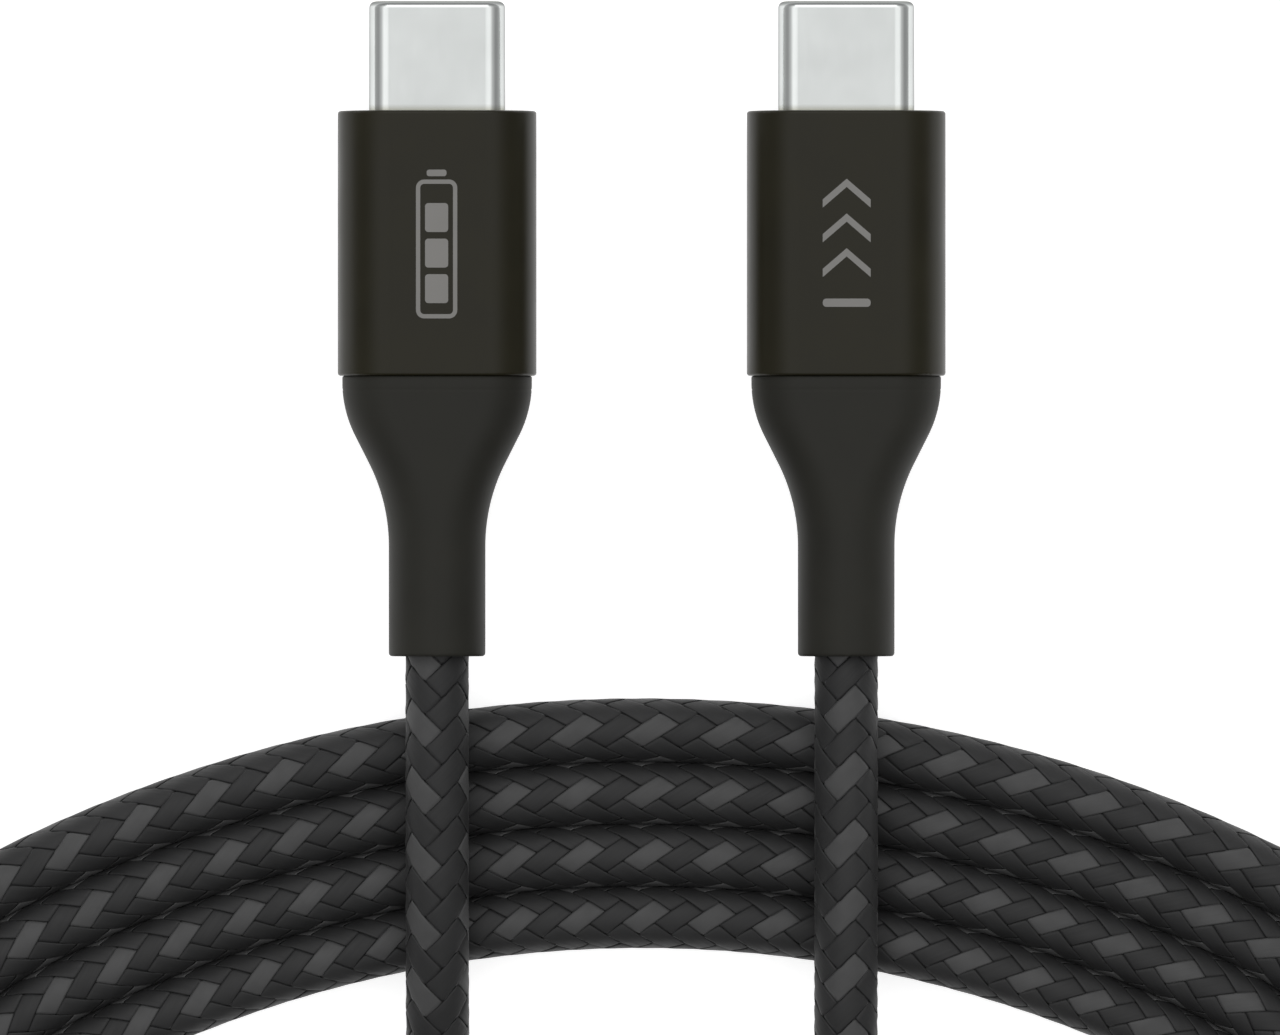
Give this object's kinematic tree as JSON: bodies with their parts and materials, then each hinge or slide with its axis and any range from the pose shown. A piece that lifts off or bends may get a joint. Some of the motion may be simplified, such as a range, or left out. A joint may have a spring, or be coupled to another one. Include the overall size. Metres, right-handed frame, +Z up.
{
  "type": "charging cable",
  "caption": "Braided charging cable with a flat reversible plug, slim housing and flared strain relief at each end, its cord wound in a flat coil.",
  "frame": {"origin": "on the floor under the middle of the two connectors, taken without the cord", "axes": "+Y the way both plugs point, +Z up from the floor, +X to the right with the plugs pointing away"},
  "size_m": [0.1094, 0.1081, 0.0087],
  "materials": {
    "housing": "satin black moulded plastic",
    "boot": "matte black elastomer",
    "braid": "woven nylon, black with grey strands",
    "shell": "satin nickel-plated steel",
    "contact_block": "black moulding",
    "contacts": "gold-plated copper alloy",
    "spring_steel": "bare spring steel",
    "card": "green solder mask on glass-fibre board",
    "pads": "gold-plated copper",
    "card_parts": "ceramic chip parts",
    "chip": "black chip package",
    "can": "tinned steel sheet",
    "power_wire": "insulated wire",
    "signal_wire": "insulated wire",
    "jacket": "black elastomer",
    "ferrule": "tinned metal",
    "mould": "dark moulding"
  },
  "bodies": {
    "cable": {"card_pads_a": "pads", "card_pads_b": "pads", "card_parts_a": "card_parts", "card_parts_b": "card_parts", "contact_block_a": "contact_block", "contact_block_b": "contact_block", "cord_coil": "braid", "cord_jacket_a": "jacket", "cord_jacket_b": "jacket", "cord_lead_a": "braid", "cord_lead_b": "braid", "cord_sleeve_a": "braid", "cord_sleeve_b": "braid", "crimp_ferrule_a": "ferrule", "crimp_ferrule_b": "ferrule", "housing_a": "housing", "housing_b": "housing", "inner_mould_a": "mould", "inner_mould_b": "mould", "latch_base_a": "spring_steel", "latch_base_b": "spring_steel", "lower_contacts_a": "contacts", "lower_contacts_b": "contacts", "marker_chip_a": "chip", "paddle_card_a": "card", "paddle_card_b": "card", "plug_shell_a": "shell", "plug_shell_b": "shell", "power_wires_a": "power_wire", "power_wires_b": "power_wire", "shield_can_lower_a": "can", "shield_can_lower_b": "can", "shield_can_upper_a": "can", "shield_can_upper_b": "can", "shielding_springs_a": "spring_steel", "shielding_springs_b": "spring_steel", "signal_wires_a": "signal_wire", "signal_wires_b": "signal_wire", "strain_relief_a": "boot", "strain_relief_b": "boot", "upper_contacts_a": "contacts", "upper_contacts_b": "contacts"},
    "latch_arm_left_a": {"latch_arm_left_a": "spring_steel"},
    "latch_arm_right_a": {"latch_arm_right_a": "spring_steel"},
    "latch_arm_left_b": {"latch_arm_left_b": "spring_steel"},
    "latch_arm_right_b": {"latch_arm_right_b": "spring_steel"}
  },
  "joints": [
    {"name": "latch_left_a", "type": "hinge", "parent": "cable", "child": "latch_arm_left_a", "pos_m": [-0.01587, 0.01303, 0.00319], "axis": [0, 0.0785, 0.9969], "range_deg": [0, 2], "stiffness_Nm_per_rad": 0.02},
    {"name": "latch_right_a", "type": "hinge", "parent": "cable", "child": "latch_arm_right_a", "pos_m": [-0.00893, 0.01303, 0.00319], "axis": [0, -0.0785, -0.9969], "range_deg": [0, 2], "stiffness_Nm_per_rad": 0.02},
    {"name": "latch_left_b", "type": "hinge", "parent": "cable", "child": "latch_arm_left_b", "pos_m": [0.00893, 0.01303, 0.00319], "axis": [0, 0.0785, 0.9969], "range_deg": [0, 2], "stiffness_Nm_per_rad": 0.02},
    {"name": "latch_right_b", "type": "hinge", "parent": "cable", "child": "latch_arm_right_b", "pos_m": [0.01587, 0.01303, 0.00319], "axis": [0, -0.0785, -0.9969], "range_deg": [0, 2], "stiffness_Nm_per_rad": 0.02}
  ]
}
